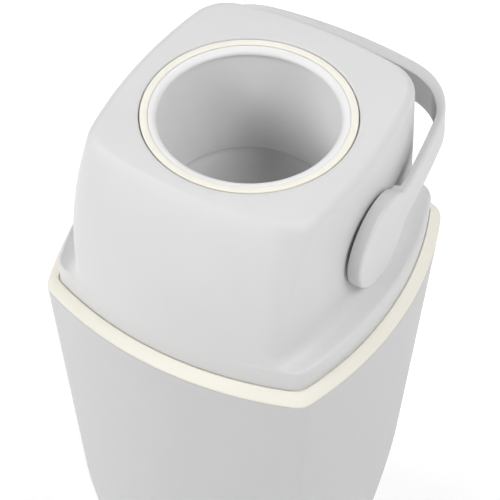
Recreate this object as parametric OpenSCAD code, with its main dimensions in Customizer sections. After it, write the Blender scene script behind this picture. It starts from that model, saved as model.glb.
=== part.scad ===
// Nappy bin with a tapering bucket, a hinged head, a ball-shaped drum that turns
// with the U-shaped handle, and a loose piston inside the drum.
// Origin: centre of the face that the bin stands on. +Z up, front towards -Y, millimetres.

/* [Bucket] */
// Height of the bucket's rim above the floor
rim_z = 388; // [370:1:400]
// Half width of the bucket at its rim, at the middle of a side
rim_half = 125.3; // [123:0.1:128]
// Radius of the bulged sides at the rim
rim_side_r = 270; // [250:1:320]
// Radius of the upright corners at the rim
rim_corner_r = 16; // [13:0.5:22]
// How much a side leans in for each millimetre down
draft = 0.0505; // [0.03:0.005:0.055]
// Extra inward curve at the foot
tuck = 13.3; // [4:0.1:16]
// Height at which that inward curve starts
tuck_z = 157; // [120:1:200]
// Wall thickness of the bucket
wall = 3; // [2.4:0.1:3.4]
// Thickness of the bucket's floor
floor_t = 4; // [3:0.5:8]
// Radius of the bucket's bottom edge
foot_r = 7; // [5:0.5:9]

/* [Pad] */
// Thickness of the non-slip pad
pad_t = 3; // [2.5:0.1:4]
// Depth of its recess in the bucket
pad_recess = 1.8; // [1:0.1:2.2]
// How far the pad stays inside the foot's edge
pad_inset = 12; // [10:1:20]

/* [Rim] */
// Height of the sloped soft belt
belt_h = 7.7; // [7:0.1:9]
// How far the belt slopes inwards to the head's skirt
belt_in = 8.9; // [8:0.1:10]
// Depth of the soft rim inside the bucket
seal_tongue = 6; // [4:0.5:8]
// Width of the ledge that carries the bag ring
shelf_w = 4.3; // [3.5:0.1:6]
// Height of that ledge above the bucket's rim
shelf_h = 3; // [2:0.1:4]
// Thickness of the bag ring
bag_ring_t = 2.4; // [2:0.1:3]
// How far the bag ring hangs into the bucket
bag_ring_h = 30; // [20:1:50]
// Gap between pieces that are laid together
seat_gap = 0.3; // [0.25:0.05:0.35]

/* [Head] */
// Height of the head's lower plate above the skirt's edge
plate_rise = 1.5; // [1.2:0.1:2.5]
// Height of the upright skirt
skirt_h = 18; // [16.5:0.5:20]
// Wall thickness of the head
head_wall = 3; // [2.5:0.1:3.2]
// Thickness of the head's top
head_top_t = 3.5; // [3:0.1:4]
// How much each side wall leans in from the pivot up to the top's edge
side_lean = 2.8; // [2:0.1:4]
// How far the crease between the top and the bowed front lies inside the ball's radius
front_lean = 10.4; // [9.5:0.1:11.5]
// How far the back wall stands outside the ball's radius, under the top's edge
back_out = 6; // [4:0.5:8]
// Rounding of the edge round the top
top_edge_r = 8; // [6:0.5:9]
// Radius of the upright corners at the top
top_corner_r = 29; // [24:0.5:32]
// Radius of the bulged sides at the top
top_side_r = 340; // [300:5:380]
// How far the side walls' outside stands beyond the ball at the pivot
cheek_out = 0.2; // [0.1:0.05:0.4]
// Height of the upright foot below the bowed front
bow_foot = 29; // [25:1:33]

/* [Drum] */
// How much smaller the ball's radius is than the bucket's rim
ball_inset = 30.3; // [30:0.1:31]
// How much smaller the drum's round rim is than the ball, in radius
mouth_inset = 27.8; // [27:0.1:29]
// How far the drum's rim lies below the head's top
rim_drop = 1.1; // [0.8:0.1:1.6]
// Width of the drum's lip, from its round rim to its hole
lip_w = 5.6; // [5.4:0.1:6]
// Thickness of the lip
lip_t = 4; // [3.5:0.1:5]
// How far the lip reaches in over the smooth bore in which the piston slides
lip_step = 1.4; // [1.2:0.1:1.6]
// Wall thickness of the bore liner
liner_t = 2.2; // [1.6:0.1:2.4]
// Wall thickness of the drum's two halves
drum_wall = 2.8; // [2.2:0.1:3]
// How far the drum's flat sides lie inside the ball
flat_inset = 10; // [9.8:0.1:10.4]
// Width left for the cream ring between the drum's rim and the edge of the head's opening
ring_w = 6.3; // [5.8:0.1:7]
// Running gap between the ball and its seals
ball_gap = 0.4; // [0.3:0.05:0.5]
// How far the cream ring lies below the head's top
ring_drop = 1.6; // [1.2:0.1:2]
// How far the head's lower plate lies above the lowest point that the ball reaches
plate_up = 35.75; // [35:0.25:37]
// Thickness of the head's lower plate
plate_t = 3.5; // [3:0.1:4]

/* [Piston] */
// Length of the piston
piston_h = 36; // [32:0.5:40]
// Depth of the bowl in each end of the piston
bowl_h = 15; // [12:0.5:16]
// Wall thickness of the bowls
bowl_wall = 2.2; // [1.8:0.1:2.6]
// Gap between the piston and the bore
piston_gap = 0.4; // [0.35:0.05:0.5]
// Running gap of the slide rings in the bore
ring_gap = 0.08; // [0.05:0.01:0.1]
// Width of a slide ring
slide_ring_w = 4; // [3:0.5:5]
// Height of the steel weight
weight_h = 6; // [4:0.5:8]
// Radius of the hole in the steel weight
weight_hole_r = 40; // [36:1:50]

/* [Handle] */
// Angle of the handle above level, lying back
handle_tilt = 8.8; // [7:0.1:12]
// How far the outside of the crossbar stands beyond the ball
crossbar_out = 50.3; // [49:0.1:53]
// How far a boss stands out from the head's side wall
boss_out = 10.8; // [10.4:0.1:11.6]
// Radius of the bosses
boss_r = 34.7; // [34:0.1:36]
// Gap between a boss and the head's side wall
boss_gap = 0.7; // [0.5:0.1:1]
// Width of the strap
strap_w = 30.4; // [28:0.1:34]
// Thickness of the strap along the arms
arm_t = 5.8; // [5.2:0.1:6.5]
// Thickness of the strap along the crossbar
crossbar_t = 12.5; // [10:0.5:14]
// Radius of the strap's corners
handle_corner_r = 51; // [46:1:56]
// Radius of the slight bow of the arms
arm_bow_r = 750; // [600:10:900]
// Radius of the bow of the crossbar
crossbar_bow_r = 400; // [360:10:450]
// Depth of the hollow inside each arm
core_depth = 2.6; // [1.5:0.1:3]

/* [Bearings] */
// Radius of the hubs that turn in the bearings
hub_r = 24; // [22:0.5:26]
// Running gap between hub and bearing
bearing_gap = 0.05; // [0.03:0.01:0.08]
// Wall thickness of the bearing tube
bearing_t = 2.8; // [2.4:0.1:3.2]
// Thickness of the bearing's flange
flange_t = 2; // [1.6:0.1:2.2]
// Gap between the bearing's flange and the drum
flange_gap = 0.8; // [0.6:0.1:0.9]

/* [Hinge] */
// Distance from the bucket's rim out to the hinge's axis
hinge_out = 4.7; // [4.2:0.1:5.2]
// Outer radius of the hinge's knuckles
knuckle_r = 5; // [4.5:0.1:5]
// Radius of the hinge pin
pin_r = 2.5; // [2:0.1:2.8]
// Width of the middle knuckle
knuckle_w = 24; // [18:1:30]
// Width of each outer knuckle
ear_w = 14; // [10:1:18]
// Furthest that the head tilts back, in degrees
head_open = 85; // [75:1:88]

/* [Hidden] */
$fn = 96;

// Colours
shell_grey = [0.86, 0.86, 0.86];
cream = [0.95, 0.94, 0.89];
handle_grey = [0.81, 0.81, 0.81];
dark_grey = [0.35, 0.35, 0.36];
steel = [0.7, 0.7, 0.72];

// Segments of each bulged side and of each corner of an outline
side_n = 8;
corner_n = 8;

// Radii of the drum, its mouth and the opening round it
drum_r = rim_half - ball_inset;
drum_rim_r = drum_r - mouth_inset;
lip_r = drum_rim_r - lip_w;
bore_r = lip_r + lip_step;
drum_flat = drum_r - flat_inset;
opening_r = drum_rim_r + ring_w;
seat_r = drum_r + ball_gap;
rim_rise = sqrt(drum_r * drum_r - drum_rim_r * drum_rim_r);

// Heights that follow from the sizes above: the head is as high as the drum needs
foot_z = pad_t - pad_recess;
floor_z = foot_z + floor_t;
belt_z = rim_z + belt_h;
skirt_z = belt_z + seat_gap;
plate_z = skirt_z + plate_rise;
plate_top = plate_z + plate_t;
plate_drop = drum_r - plate_up;
pivot_z = plate_z + plate_drop;
top_z = pivot_z + rim_rise + rim_drop;
seal_w = 8.5;
seal_flange_w = 5;
lower_ring_r = sqrt(seat_r * seat_r - plate_drop * plate_drop) + seal_w;
lower_flange_r = lower_ring_r + seal_flange_w;

// Head outline: the skirt meets the belt's inner edge, and the side walls step in above a ledge
skirt_half = rim_half - belt_in;
skirt_side_r = rim_side_r - belt_in;
skirt_corner_r = rim_corner_r - 1;
ledge_edge_r = 3;
ledge_rise = 6.5;
cheek_half = drum_r + cheek_out;
top_half_x = cheek_half - side_lean;
front_top_y = drum_r - front_lean;
back_top_y = drum_r + back_out;
ledge_foot_half = cheek_half + 2.4;
edge_z = top_z - top_edge_r;
bow_h = top_z - skirt_z - bow_foot;
cheek_slope = (cheek_half - top_half_x) / (edge_z - pivot_z);
bow_power = 2.5;

// Pieces on the pivot axis
boss_x = cheek_half + boss_out;
boss_face = cheek_half + boss_gap;
boss_t = boss_x - boss_face;
flange_x = drum_flat + flange_gap;
bearing_r = hub_r + bearing_gap + bearing_t;
bearing_end = cheek_half + 0.1;
post_reach = bearing_r + 4.5;
bearing_flange_r = post_reach + 3.5;
stop_r = bearing_flange_r + 3.6;
stop_pin_r = 1.9;
stop_pin_h = 2.2;
hub_socket = 4.2;
hub_end = boss_face + hub_socket - 0.2;
hub_wall = 3.2;
hub_plate = 4;
hub_screw_at = 12;
key_w = 8;
key_gap = 0.1;
key_half = hub_r - 0.7;
bead_r = hub_r + 0.4;
bead_w = 1;
bead_x = boss_face + 2.4;

// Screws
screw_r = 1.5;
screw_gap = 0.05;
screw_head_r = 3;
screw_head_h = 2;
screw_boss_r = 4.2;

// Drum screws stand in the space between the ball and the bore
drum_screw_at = 0.579 * drum_r;
drum_screw_seat = 22;
drum_screw_top = 16;
drum_boss_r = 4.6;
drum_boss_h = 0.484 * drum_r;

// Screw posts of the head's lower plate
post_in_x = 56.4;
post_in_y = 17.4;
post_x = skirt_half - post_in_x;
post_y = skirt_half - post_in_y;

// Hinge
hinge_y = rim_half + hinge_out;
hinge_z = plate_top - 1;
arm_half_w = knuckle_w / 2 + 1;
bracket_t = 3;
pad_face_y = rim_half + 0.9;
bracket_w = knuckle_w + 2 * ear_w;
hinge_gap = 0.3;

// Keeper and magnet in the middle of the front
keeper_size = [24, 10, 1.5];
magnet_size = [20, 9];
magnet_pocket = 2;

function quarter(p, q) = q == 0 ? p : q == 1 ? [-p[1], p[0]] : q == 2 ? [-p[0], -p[1]] : [p[1], -p[0]];

// Rounded square with bulged sides, counter-clockwise: side arcs joined by tangent corner arcs
function outline(hx, hy, side_r, corner_r) =
    let (h = max(hx, hy), back = side_r - h,
        c = (sqrt(2 * pow(side_r - corner_r, 2) - back * back) - back) / 2,
        turn = atan2(c, c + back))
    [for (q = [0:3], k = [0:side_n + corner_n - 1])
        let (a = k < side_n ? -turn + 2 * turn * k / side_n : turn + (90 - 2 * turn) * (k - side_n) / corner_n,
            p = k < side_n ? [side_r * cos(a) - back, side_r * sin(a)]
                : [c + corner_r * cos(a), c + corner_r * sin(a)],
            s = quarter(p, q))
        [s[0] * hx / h, s[1] * hy / h]];

function ring(hx, hy, side_r, corner_r, z) = [for (p = outline(hx, hy, side_r, corner_r)) [p[0], p[1], z]];

// Circle with as many points as an outline, so that it can be lofted with one
function round_ring(r, z) = [for (q = [0:3], k = [0:side_n + corner_n - 1])
    let (a = 90 * q + (k < side_n ? -36 + 72 * k / side_n : 36 + 18 * (k - side_n) / corner_n))
    [r * cos(a), r * sin(a), z]];

function strip_faces(i, next, m) = [for (j = [0:m - 1])
    let (a = i * m + j, b = i * m + (j + 1) % m, c = next * m + (j + 1) % m, d = next * m + j)
    each [[a, d, c], [a, c, b]]];

// Skin over a stack of rings, closed by a flat cap at each end
module capped_loft(rings) {
    n = len(rings);
    m = len(rings[0]);
    middle = [for (r = [rings[0], rings[n - 1]]) [for (axis = [0:2]) [for (p = r) p[axis]] * [for (p = r) 1] / m]];
    polyhedron(
        points = [each [for (r = rings) each r], each middle],
        faces = [each [for (i = [0:n - 2]) each strip_faces(i, i + 1, m)],
            each [for (j = [0:m - 1]) [n * m, j, (j + 1) % m]],
            each [for (j = [0:m - 1]) [n * m + 1, (n - 1) * m + (j + 1) % m, (n - 1) * m + j]]],
        convexity = 10);
}

// Skin over a closed chain of rings, as for a frame or a shell open at one end
module looped_loft(rings) {
    n = len(rings);
    m = len(rings[0]);
    polyhedron(
        points = [for (r = rings) each r],
        faces = [for (i = [0:n - 1]) each strip_faces(i, (i + 1) % n, m)],
        convexity = 10);
}

// Outline of the rim moved in by d
function rim_ring(d, z) =
    ring(rim_half - d, rim_half - d, rim_side_r - d, max(rim_corner_r - d, 6), z);

// Bucket outline at height z, moved in by d
function bucket_half(z) =
    rim_half - draft * (rim_z - z) - tuck * pow(max(0, tuck_z - z) / tuck_z, 1.4);
function bucket_ring(z, d) =
    let (h = bucket_half(z), s = h / rim_half)
    ring(h - d, h - d, rim_side_r * s - d, max(rim_corner_r * s - d, 6), z);

module at_pivot() translate([0, 0, pivot_z]) children();
module along_x(x) translate([x, 0, 0]) rotate([0, 90, 0]) children();
module both_sides() {
    children();
    mirror([1, 0, 0]) children();
}
module at_corners(x, y) for (sx = [-1, 1], sy = [-1, 1]) translate([sx * x, sy * y, 0]) children();

// Screw with its head's seat at the origin and its shank along +Z
module screw(length) {
    translate([0, 0, -screw_head_h]) cylinder(r = screw_head_r, h = screw_head_h, $fn = 32);
    cylinder(r = screw_r, h = length, $fn = 32);
}
module screw_hole(length) cylinder(r = screw_r + screw_gap, h = length, $fn = 32);

// Bucket

bucket_steps = [20, 45, 75, 105, 135, 165, 240, 320];

module bucket() color(shell_grey) {
    outer_foot = [for (a = [0:30:90])
        bucket_ring(foot_z + foot_r * (1 - cos(a)), foot_r * (1 - sin(a)))];
    outer = [for (z = bucket_steps) bucket_ring(z, 0)];
    inner = [for (i = [len(bucket_steps) - 1:-1:1]) bucket_ring(bucket_steps[i], wall)];
    inner_foot = [for (a = [90:-30:0])
        bucket_ring(floor_z + foot_r * (1 - cos(a)), wall + foot_r * (1 - sin(a)))];
    difference() {
        union() {
            capped_loft([each outer_foot, each outer, bucket_ring(rim_z, 0), bucket_ring(rim_z, wall),
                each inner, each inner_foot]);
            hinge_pad();
        }
        translate([0, 0, foot_z - 1]) linear_extrude(pad_recess + 1) pad_outline(seat_gap);
        bracket_screw_places() screw_hole(bracket_t + hinge_pad_depth - 1);
    }
}

// Flat block moulded on the bucket's back wall for the hinge bracket
hinge_pad_top = rim_z - seal_tongue - 1.5;
hinge_pad_h = 28;
hinge_pad_depth = 7;
module hinge_pad() translate([-bracket_w / 2 - 2, pad_face_y - hinge_pad_depth, hinge_pad_top - hinge_pad_h])
    cube([bracket_w + 4, hinge_pad_depth, hinge_pad_h]);

module pad_outline(grow) polygon(outline(pad_half + grow, pad_half + grow, pad_side_r, pad_corner_r));
pad_half = bucket_half(foot_z) - pad_inset;
pad_side_r = rim_side_r * pad_half / rim_half;
pad_corner_r = rim_corner_r;

module base_pad() color(dark_grey)
    linear_extrude(pad_t) pad_outline(0);

// Rim

shelf_d = belt_in + shelf_w;
tongue_d = shelf_d + shelf_w;
module rim_seal() color(cream)
    looped_loft([for (s = [
        [0.5, 0],
        [0.3, 0.9],
        [1.1, 2.3],
        [belt_in * 0.48, belt_h * 0.65],
        [belt_in - 0.8, belt_h - 0.5],
        [belt_in - 0.1, belt_h],
        [shelf_d, belt_h],
        [shelf_d, shelf_h],
        [tongue_d, shelf_h],
        [tongue_d, -seal_tongue],
        [wall + 0.6, -seal_tongue],
        [wall + 0.6, 0]
    ]) rim_ring(s[0], rim_z + s[1])]);

bag_flange_z = rim_z + shelf_h;
bag_ring_in = tongue_d + seat_gap + bag_ring_t;
module bag_ring() color(shell_grey) {
    looped_loft([for (s = [
        [shelf_d + seat_gap, 0],
        [shelf_d + seat_gap, bag_ring_t],
        [bag_ring_in, bag_ring_t],
        [bag_ring_in + 1.5, -bag_ring_h],
        [bag_ring_in + 1.5 - bag_ring_t, -bag_ring_h],
        [tongue_d + seat_gap, 0]
    ]) rim_ring(s[0], bag_flange_z + s[1])]);
    translate([-keeper_size[0] / 2 - 2, keeper_y - keeper_size[1] / 2 - 3, bag_flange_z])
        cube([keeper_size[0] + 4, keeper_size[1] + 5, bag_ring_t]);
}

keeper_y = -(rim_half - bag_ring_in) + 2 + keeper_size[1] / 2;
keeper_z = bag_flange_z + bag_ring_t;
module keeper_plate() color(steel)
    translate([-keeper_size[0] / 2, keeper_y - keeper_size[1] / 2, keeper_z]) cube(keeper_size);

// Hinge

bracket_z = hinge_pad_top - hinge_pad_h + 1;
module bracket_screw_places() for (x = [-1, 1], z = [0, 1])
    translate([x * bracket_w * 0.36, pad_face_y + bracket_t, bracket_z + 6 + z * 9]) rotate([90, 0, 0]) children();

module hinge_bracket() color(shell_grey) difference() {
    union() {
        translate([-bracket_w / 2, pad_face_y, bracket_z])
            cube([bracket_w, bracket_t, hinge_z - knuckle_r - 2 - bracket_z]);
        both_sides() along_x(knuckle_w / 2 + hinge_gap) linear_extrude(ear_w - hinge_gap) ear_outline();
    }
    along_x(-bracket_w) translate([-hinge_z, hinge_y, 0]) cylinder(r = pin_r, h = 2 * bracket_w, $fn = 48);
    bracket_screw_places() screw_hole(bracket_t + 1);
}

// Outline of an ear, seen along the pin: x is -Z and y is +Y
module ear_outline() {
    translate([-hinge_z, hinge_y]) circle(r = knuckle_r, $fn = 48);
    polygon([[-hinge_z, hinge_y + knuckle_r], [-hinge_z, hinge_y - knuckle_r + 1.3],
        [-hinge_z + knuckle_r, pad_face_y], [-hinge_z + 4 * knuckle_r, pad_face_y],
        [-hinge_z + 5 * knuckle_r, pad_face_y + bracket_t], [-hinge_z + 2.4 * knuckle_r, hinge_y + knuckle_r]]);
}

module bracket_screws() color(steel) bracket_screw_places() screw(bracket_t + hinge_pad_depth - 2);

module hinge_pin() color(steel)
    along_x(-bracket_w / 2 + 0.5) translate([-hinge_z, hinge_y, 0])
        cylinder(r = pin_r, h = bracket_w - 1, $fn = 48);

// Leaf on the head's lower plate: a plate, an arm through the skirt and the middle knuckle
leaf_t = 3;
leaf_y = lower_flange_r + seat_gap;
heel_r = knuckle_r + 3.5;
heel_turn = head_open - 95;
module hinge_leaf() color(shell_grey) difference() {
    union() {
        translate([-knuckle_w / 2, leaf_y, plate_top]) cube([knuckle_w, hinge_y - leaf_y, leaf_t]);
        along_x(-knuckle_w / 2) linear_extrude(knuckle_w) translate([-hinge_z, hinge_y]) {
            circle(r = knuckle_r, $fn = 48);
            polygon([[0, 0], heel_r * [-sin(heel_turn), cos(heel_turn)],
                heel_r * [-sin(heel_turn + 35), cos(heel_turn + 35)]]);
        }
    }
    along_x(-knuckle_w) translate([-hinge_z, hinge_y, 0])
        cylinder(r = pin_r + bearing_gap, h = 2 * knuckle_w, $fn = 48);
    leaf_screw_places() translate([0, 0, -1]) screw_hole(leaf_t + 2 + plate_t);
}
module leaf_screw_places() for (x = [-1, 1]) translate([x * 7, leaf_y + 7, plate_z]) children();
module leaf_screws() color(steel) leaf_screw_places() screw(plate_t + leaf_t - 0.5);

// Head

// Straight slope of the side walls, bowed front and straight back
function side_x(z) = cheek_half - cheek_slope * (z - pivot_z);
function front_y(z) = skirt_half - (skirt_half - front_top_y) * pow(max(0, 1 - (top_z - z) / bow_h), bow_power);
function back_y(z) = skirt_half - (skirt_half - back_top_y) * rise(z);

// Share of the way from the skirt to the top
function rise(z) = max(0, min(1, (z - skirt_z - skirt_h) / (edge_z - skirt_z - skirt_h)));

// Head outline of half width hx at height z. Its radii and its front and back are moved in by d
function head_ring(hx, z, d, front_in = 0, back_in = 0) =
    let (t = rise(z), front = front_y(z) - d - front_in, back = back_y(z) - d - back_in)
    [for (p = outline(hx, (front + back) / 2, skirt_side_r + (top_side_r - skirt_side_r) * t - d,
        max(skirt_corner_r + (top_corner_r - skirt_corner_r) * t * t - d, 6)))
        [p[0], p[1] + (back - front) / 2, z]];
// The same in the rounded edge round the top, a degrees over the upright wall
function edge_ring(a, z, r, d) =
    head_ring(top_half_x - d - r * (1 - cos(a)), z, d, r * 0.2 * (1 - cos(a)), r * 0.7 * (1 - cos(a)));

// Half width and height of the side profile from the skirt's edge to the side wall, outside and inside
ledge_blend = 12;
foot_h = skirt_h + ledge_rise + ledge_blend;
ledge_profile = [
    [skirt_half, 0],
    [skirt_half, skirt_h - ledge_edge_r],
    [skirt_half - 0.3 * ledge_edge_r, skirt_h - 0.3 * ledge_edge_r],
    [skirt_half - ledge_edge_r, skirt_h],
    [ledge_foot_half + 6, skirt_h + ledge_rise * 0.45],
    [ledge_foot_half + 1.6, skirt_h + ledge_rise],
    [ledge_foot_half - 0.6, skirt_h + ledge_rise + 4.5],
    [side_x(skirt_z + foot_h), foot_h]
];
ledge_inside = [
    [side_x(skirt_z + foot_h) - head_wall, foot_h],
    [ledge_foot_half - 0.6 - head_wall, skirt_h + ledge_rise + 4.5 - head_wall * 0.2],
    [ledge_foot_half + 1.6 - head_wall * 0.8, skirt_h + ledge_rise - head_wall * 0.6],
    [ledge_foot_half + 6 - head_wall * 0.5, skirt_h + ledge_rise * 0.45 - head_wall * 0.9],
    [skirt_half - head_wall - 1.5, skirt_h - head_wall],
    [skirt_half - head_wall, skirt_h - head_wall - ledge_edge_r],
    [skirt_half - head_wall, 0]
];
wall_steps = [0.3, 0.6, 0.85, 1];

module head_cover() color(shell_grey) {
    wall_foot_z = skirt_z + foot_h;
    walls = [for (f = wall_steps) wall_foot_z + (edge_z - wall_foot_z) * f];
    inner_top = top_z - head_top_t;
    inner_edge_r = top_edge_r - head_wall;
    difference() {
        union() {
            looped_loft([
                each [for (p = ledge_profile) head_ring(p[0], skirt_z + p[1], 0)],
                each [for (z = walls) head_ring(side_x(z), z, 0)],
                each [for (a = [18:18:90]) edge_ring(a, edge_z + top_edge_r * sin(a), top_edge_r, 0)],
                round_ring(drum_rim_r, top_z),
                round_ring(drum_rim_r, inner_top),
                each [for (a = [90:-30:0])
                    edge_ring(a, inner_top - inner_edge_r * (1 - sin(a)), inner_edge_r, head_wall)],
                each [for (i = [len(walls) - 2:-1:0]) head_ring(side_x(walls[i]) - head_wall, walls[i], head_wall)],
                each [for (p = ledge_inside) head_ring(p[0], skirt_z + p[1], head_wall)]
            ]);
            head_posts();
            seal_rib();
            both_sides() bearing_posts();
        }
        translate([0, 0, inner_top - 1]) cylinder(r = opening_r, h = head_top_t + 2, $fn = 128);
        at_pivot() both_sides() {
            along_x(drum_flat) cylinder(r = bearing_r + 0.1, h = boss_x - drum_flat);
            along_x(boss_face - 0.3) cylinder(r = boss_r + 1.2, h = boss_t);
        }
        head_post_places() translate([0, 0, -1]) screw_hole(post_h - 1);
        bearing_screw_places() screw_hole(bearing_screw_h);
        translate([-arm_half_w, skirt_half - 4 * head_wall, skirt_z - 1])
            cube([2 * arm_half_w, 5 * head_wall, plate_top + leaf_t + 1.5 - skirt_z]);
    }
}

// Posts with pilot holes for the lower plate's screws, each with a web to the front or back wall
post_r = 4;
post_h = 22;
web_t = 2.4;
web_y = skirt_half - post_x * post_x / (2 * skirt_side_r) - head_wall + 0.6;
module head_post_places() at_corners(post_x, post_y) translate([0, 0, plate_top]) children();
module head_posts() {
    head_post_places() cylinder(r = post_r, h = post_h, $fn = 32);
    for (sx = [-1, 1], sy = [-1, 1]) translate([sx * post_x - web_t / 2, min(sy * post_y, sy * web_y), plate_top])
        cube([web_t, web_y - post_y, post_h]);
}

// Rib that holds the flange of the opening's ring
seal_depth = 7.5;
seal_flange_z = top_z - head_top_t - seal_depth;
seal_flange_r = opening_r + 7;
module seal_rib() translate([0, 0, seal_flange_z - 2]) difference() {
    cylinder(r = seal_flange_r + 2.3, h = seal_depth + 2.6);
    translate([0, 0, -1]) cylinder(r = seal_flange_r + seat_gap, h = seal_depth + head_top_t + 3);
}

// Posts on the side walls that carry a bearing's flange
flange_end = flange_x + flange_t;
bearing_screw_h = 6.4;
module bearing_post_places() at_pivot() for (sy = [-1, 1], sz = [-1, 1])
    translate([flange_end, sy * post_reach * sin(45), sz * post_reach * sin(45)]) children();
module bearing_posts() for (sz = [-1, 1]) {
    post_z = sz * post_reach * sin(45);
    post_y_at = post_reach * sin(45);
    sag = post_y_at * post_y_at / (2 * skirt_side_r);
    reach = side_x(pivot_z + post_z) - sag - head_wall * 0.5 - flange_end;
    at_pivot() for (sy = [-1, 1]) translate([flange_end, sy * post_y_at, post_z])
        rotate([0, 90, 0]) cylinder(r = 3.2, h = reach, $fn = 32);
}
module bearing_screw_places() both_sides() bearing_post_places()
    translate([-flange_t, 0, 0]) rotate([0, 90, 0]) children();

module head_base() color(shell_grey) difference() {
    translate([0, 0, plate_z]) linear_extrude(plate_t)
        polygon(outline(skirt_half - head_wall - seat_gap, skirt_half - head_wall - seat_gap,
            skirt_side_r - head_wall - seat_gap, skirt_corner_r - head_wall - seat_gap));
    translate([0, 0, plate_z - 1]) cylinder(r = lower_ring_r + 0.1, h = plate_t + 2, $fn = 128);
    head_post_places() translate([0, 0, -plate_t - 1]) screw_hole(plate_t + 2);
    leaf_screw_places() translate([0, 0, -1]) screw_hole(plate_t + 2);
    translate([-magnet_size[0] / 2 - 0.1, keeper_y - magnet_size[1] / 2 - 0.1, plate_z - 1])
        cube([magnet_size[0] + 0.2, magnet_size[1] + 0.2, magnet_pocket + 1]);
}

module head_screws() color(steel) head_post_places() translate([0, 0, -plate_t]) screw(plate_t + 0.55 * post_h);

module lid_magnet() color(steel)
    translate([-magnet_size[0] / 2, keeper_y - magnet_size[1] / 2, keeper_z + keeper_size[2] + seat_gap])
        cube([magnet_size[0], magnet_size[1], plate_z + magnet_pocket - keeper_z - keeper_size[2] - seat_gap]);

// Seals: rings whose inner face follows the ball

module ball_ring(profile) rotate_extrude($fn = 128) difference() {
    polygon(profile);
    translate([0, pivot_z]) circle(r = seat_r, $fn = 360);
}

module opening_seal() color(cream) ball_ring([
    [lip_r, seal_flange_z], [seal_flange_r, seal_flange_z], [seal_flange_r, top_z - head_top_t],
    [opening_r - 0.5, top_z - head_top_t], [opening_r - 0.5, top_z - ring_drop], [lip_r, top_z - ring_drop]]);

module lower_seal() color(cream) ball_ring([
    [lip_r, plate_z], [lower_ring_r, plate_z], [lower_ring_r, plate_top], [lower_flange_r, plate_top],
    [lower_flange_r, plate_top + leaf_t], [lip_r, plate_top + leaf_t]]);

// Bearings: a tube through the side wall, and a flange whose larger lower half stops the drum

module bearing_right() color(dark_grey) at_pivot() difference() {
    union() {
        along_x(flange_x) cylinder(r = bearing_flange_r, h = flange_t);
        along_x(flange_x) linear_extrude(flange_t) intersection() {
            circle(r = stop_r);
            polygon([[stop_step(1), 0], [stop_step(1), stop_r + 1], [stop_r + 1, stop_r + 1],
                [stop_r + 1, -stop_r - 1], [stop_step(-1), -stop_r - 1], [stop_step(-1), 0]]);
        }
        along_x(flange_x) cylinder(r = bearing_r, h = bearing_end - flange_x);
    }
    along_x(flange_x - 1) cylinder(r = hub_r + bearing_gap, h = bearing_end - flange_x + 2);
    for (sy = [-1, 1], sz = [-1, 1]) translate([flange_x - 1, sy * post_reach * sin(45), sz * post_reach * sin(45)])
        rotate([0, 90, 0]) screw_hole(flange_t + 2);
}
// Height of the step below the pivot where the stop pin rests, at the back (1) and at the front (-1)
function stop_step(side) = -side * (stop_pin_at - side * (stop_pin_r + 0.05));
stop_pin_at = stop_pin_r + 0.3;

module bearing_left() mirror([1, 0, 0]) bearing_right();

module bearing_screws() color(steel) bearing_screw_places() bearing_screw();
module bearing_screw() {
    translate([0, 0, -0.3]) cylinder(r = 2.4, h = 0.3, $fn = 32);
    cylinder(r = screw_r, h = bearing_screw_h - 0.6, $fn = 32);
}

// Drum, about its own middle

module ball_slice(r, x, h) intersection() {
    sphere(r = r, $fn = 128);
    translate([-x, -r, 0]) cube([2 * x, 2 * r, h]);
}

stop_pin_y = bearing_flange_r + 2;
module drum_half(with_pin) {
    difference() {
        ball_slice(drum_r, drum_flat, rim_rise);
        translate([0, 0, -1]) ball_slice_deep(drum_r - drum_wall, drum_flat - drum_wall, rim_rise - lip_t);
        translate([0, 0, -1]) cylinder(r = lip_r, h = rim_rise + 2, $fn = 128);
        translate([0, 0, rim_rise - 2.6]) cylinder(r1 = lip_r, r2 = drum_rim_r - 0.6, h = 2.61, $fn = 128);
    }
    intersection() {
        union() {
            at_corners(drum_screw_at, drum_screw_at) cylinder(r = drum_boss_r, h = drum_boss_h, $fn = 32);
            both_sides() for (sy = [-1, 1])
                translate([drum_flat - drum_wall - hub_screw_h + 2, sy * hub_screw_at, hub_screw_at])
                    rotate([0, 90, 0]) cylinder(r = screw_boss_r, h = hub_screw_h - 1, $fn = 32);
        }
        ball_slice(drum_r - 0.5, drum_flat - 0.5, rim_rise);
    }
    if (with_pin) both_sides() translate([drum_flat - 0.5, stop_pin_y, stop_pin_at])
        rotate([0, 90, 0]) cylinder(r = stop_pin_r, h = stop_pin_h + 0.5, $fn = 32);
}
// Inner space of a half, cut square at its rim and running a little past the middle
module ball_slice_deep(r, x, h) intersection() {
    translate([0, 0, 1]) sphere(r = r, $fn = 128);
    translate([-x, -r, 0]) cube([2 * x, 2 * r, h + 1]);
}
module hub_pilots(depth) both_sides() for (sy = [-1, 1], sz = [-1, 1])
    translate([drum_flat - depth, sy * hub_screw_at, sz * hub_screw_at]) rotate([0, 90, 0]) screw_hole(depth + 1);

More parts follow.
